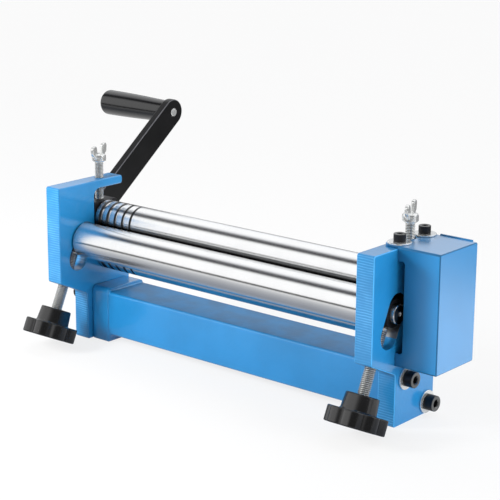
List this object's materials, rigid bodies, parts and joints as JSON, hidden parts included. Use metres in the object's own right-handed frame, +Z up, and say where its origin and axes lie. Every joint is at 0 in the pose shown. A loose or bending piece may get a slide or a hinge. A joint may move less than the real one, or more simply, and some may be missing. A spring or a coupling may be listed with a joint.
{
  "type": "slip roll machine",
  "caption": "Bench slip roll: geared rollers and a front bending roller between side plates, with a hand crank, lobed adjusting knobs, wing bolts and a folded gear cover.",
  "frame": {"origin": "middle of the footprint of the whole machine, at the level of its feet", "axes": "+X along the rollers towards the gear cover, +Y to the back, away from the operator, +Z up"},
  "size_m": [0.5074, 0.2344, 0.1958],
  "materials": {
    "blue_enamel": "glossy sky-blue enamel over fine machining marks",
    "polished_roller": "ground and polished steel",
    "bronze_bush": "oiled sintered bronze",
    "black_oxide": "black oxide steel",
    "zinc_plate": "bright zinc plate",
    "gear_steel": "hobbed steel, greased",
    "black_enamel": "satin black paint",
    "black_plastic": "moulded plastic, lightly textured"
  },
  "bodies": {
    "frame": {"right_side_plate": "blue_enamel", "left_side_plate": "blue_enamel", "cross_beam": "blue_enamel", "right_lower_bush": "bronze_bush", "left_lower_bush": "bronze_bush", "gear_cover": "blue_enamel", "cover_washer_front": "zinc_plate", "cover_screw_front": "black_oxide", "cover_washer_back": "zinc_plate", "cover_screw_back": "black_oxide", "right_upper_beam_washer": "zinc_plate", "left_upper_beam_washer": "zinc_plate", "right_upper_beam_screw": "black_oxide", "left_upper_beam_screw": "black_oxide", "right_lower_beam_washer": "zinc_plate", "left_lower_beam_washer": "zinc_plate", "right_lower_beam_screw": "black_oxide", "left_lower_beam_screw": "black_oxide"},
    "lower_roll": {"lower_roller": "polished_roller", "lower_gear": "gear_steel", "lower_gear_key": "gear_steel", "lower_gear_ring": "black_oxide", "crank_arm": "black_enamel", "crank_set_screw": "black_oxide", "crank_pin": "zinc_plate"},
    "grip": {"crank_grip": "black_plastic"},
    "upper_carriage": {"left_upper_block": "black_oxide", "right_upper_block": "black_oxide"},
    "upper_roll": {"upper_roller": "polished_roller", "upper_gear": "gear_steel", "upper_gear_key": "gear_steel", "upper_gear_ring": "black_oxide"},
    "left_wing": {"left_wing_bolt": "zinc_plate"},
    "right_wing": {"right_wing_bolt": "zinc_plate"},
    "bending_carriage": {"left_bending_block": "black_oxide", "right_bending_block": "black_oxide"},
    "bending_roll": {"bending_roller": "polished_roller"},
    "left_lift": {"left_knob": "black_plastic", "left_adjusting_screw": "zinc_plate"},
    "right_lift": {"right_knob": "black_plastic", "right_adjusting_screw": "zinc_plate"}
  },
  "joints": [
    {"name": "crank_turn", "type": "hinge", "parent": "frame", "child": "lower_roll", "pos_m": [0, -0.02929, 0.0786], "axis": [1, 0, 0], "continuous": true},
    {"name": "grip_spin", "type": "hinge", "parent": "lower_roll", "child": "grip", "pos_m": [-0.21235, 0.10468, 0.18326], "axis": [1, 0, 0], "continuous": true},
    {"name": "upper_lift", "type": "slide", "parent": "frame", "child": "upper_carriage", "axis": [0, 0, 1], "range_m": [-0.0008, 0.0025]},
    {"name": "left_wing_turn", "type": "hinge", "parent": "upper_carriage", "child": "left_wing", "pos_m": [-0.1316, -0.02929, 0.15], "axis": [0, 0, 1], "range_deg": [-230.4, 720]},
    {"name": "right_wing_turn", "type": "hinge", "parent": "upper_carriage", "child": "right_wing", "pos_m": [0.2069, -0.02929, 0.15], "axis": [0, 0, 1], "range_deg": [-230.4, 720]},
    {"name": "upper_roller_spin", "type": "hinge", "parent": "upper_carriage", "child": "upper_roll", "pos_m": [0, -0.02929, 0.1106], "axis": [1, 0, 0], "continuous": true},
    {"name": "bending_slide", "type": "slide", "parent": "frame", "child": "bending_carriage", "axis": [0, 0.4226, 0.9063], "range_m": [-0.016, 0.00075]},
    {"name": "left_knob_turn", "type": "hinge", "parent": "bending_carriage", "child": "left_lift", "pos_m": [-0.1316, -0.05757, 0.0946], "axis": [0, 0.4226, 0.9063], "range_deg": [-3840, 180]},
    {"name": "right_knob_turn", "type": "hinge", "parent": "bending_carriage", "child": "right_lift", "pos_m": [0.2069, -0.05757, 0.0946], "axis": [0, 0.4226, 0.9063], "range_deg": [-3840, 180]},
    {"name": "bending_roller_spin", "type": "hinge", "parent": "bending_carriage", "child": "bending_roll", "pos_m": [0, -0.05757, 0.0946], "axis": [1, 0, 0], "continuous": true}
  ],
  "couplings": [
    {"joint": "upper_roller_spin", "follows": "crank_turn", "ratio": -1},
    {"joint": "left_wing_turn", "follows": "upper_lift", "rad_per_m": 5026.5},
    {"joint": "right_wing_turn", "follows": "upper_lift", "rad_per_m": 5026.5},
    {"joint": "left_knob_turn", "follows": "bending_slide", "rad_per_m": 4188.8},
    {"joint": "right_knob_turn", "follows": "bending_slide", "rad_per_m": 4188.8}
  ]
}
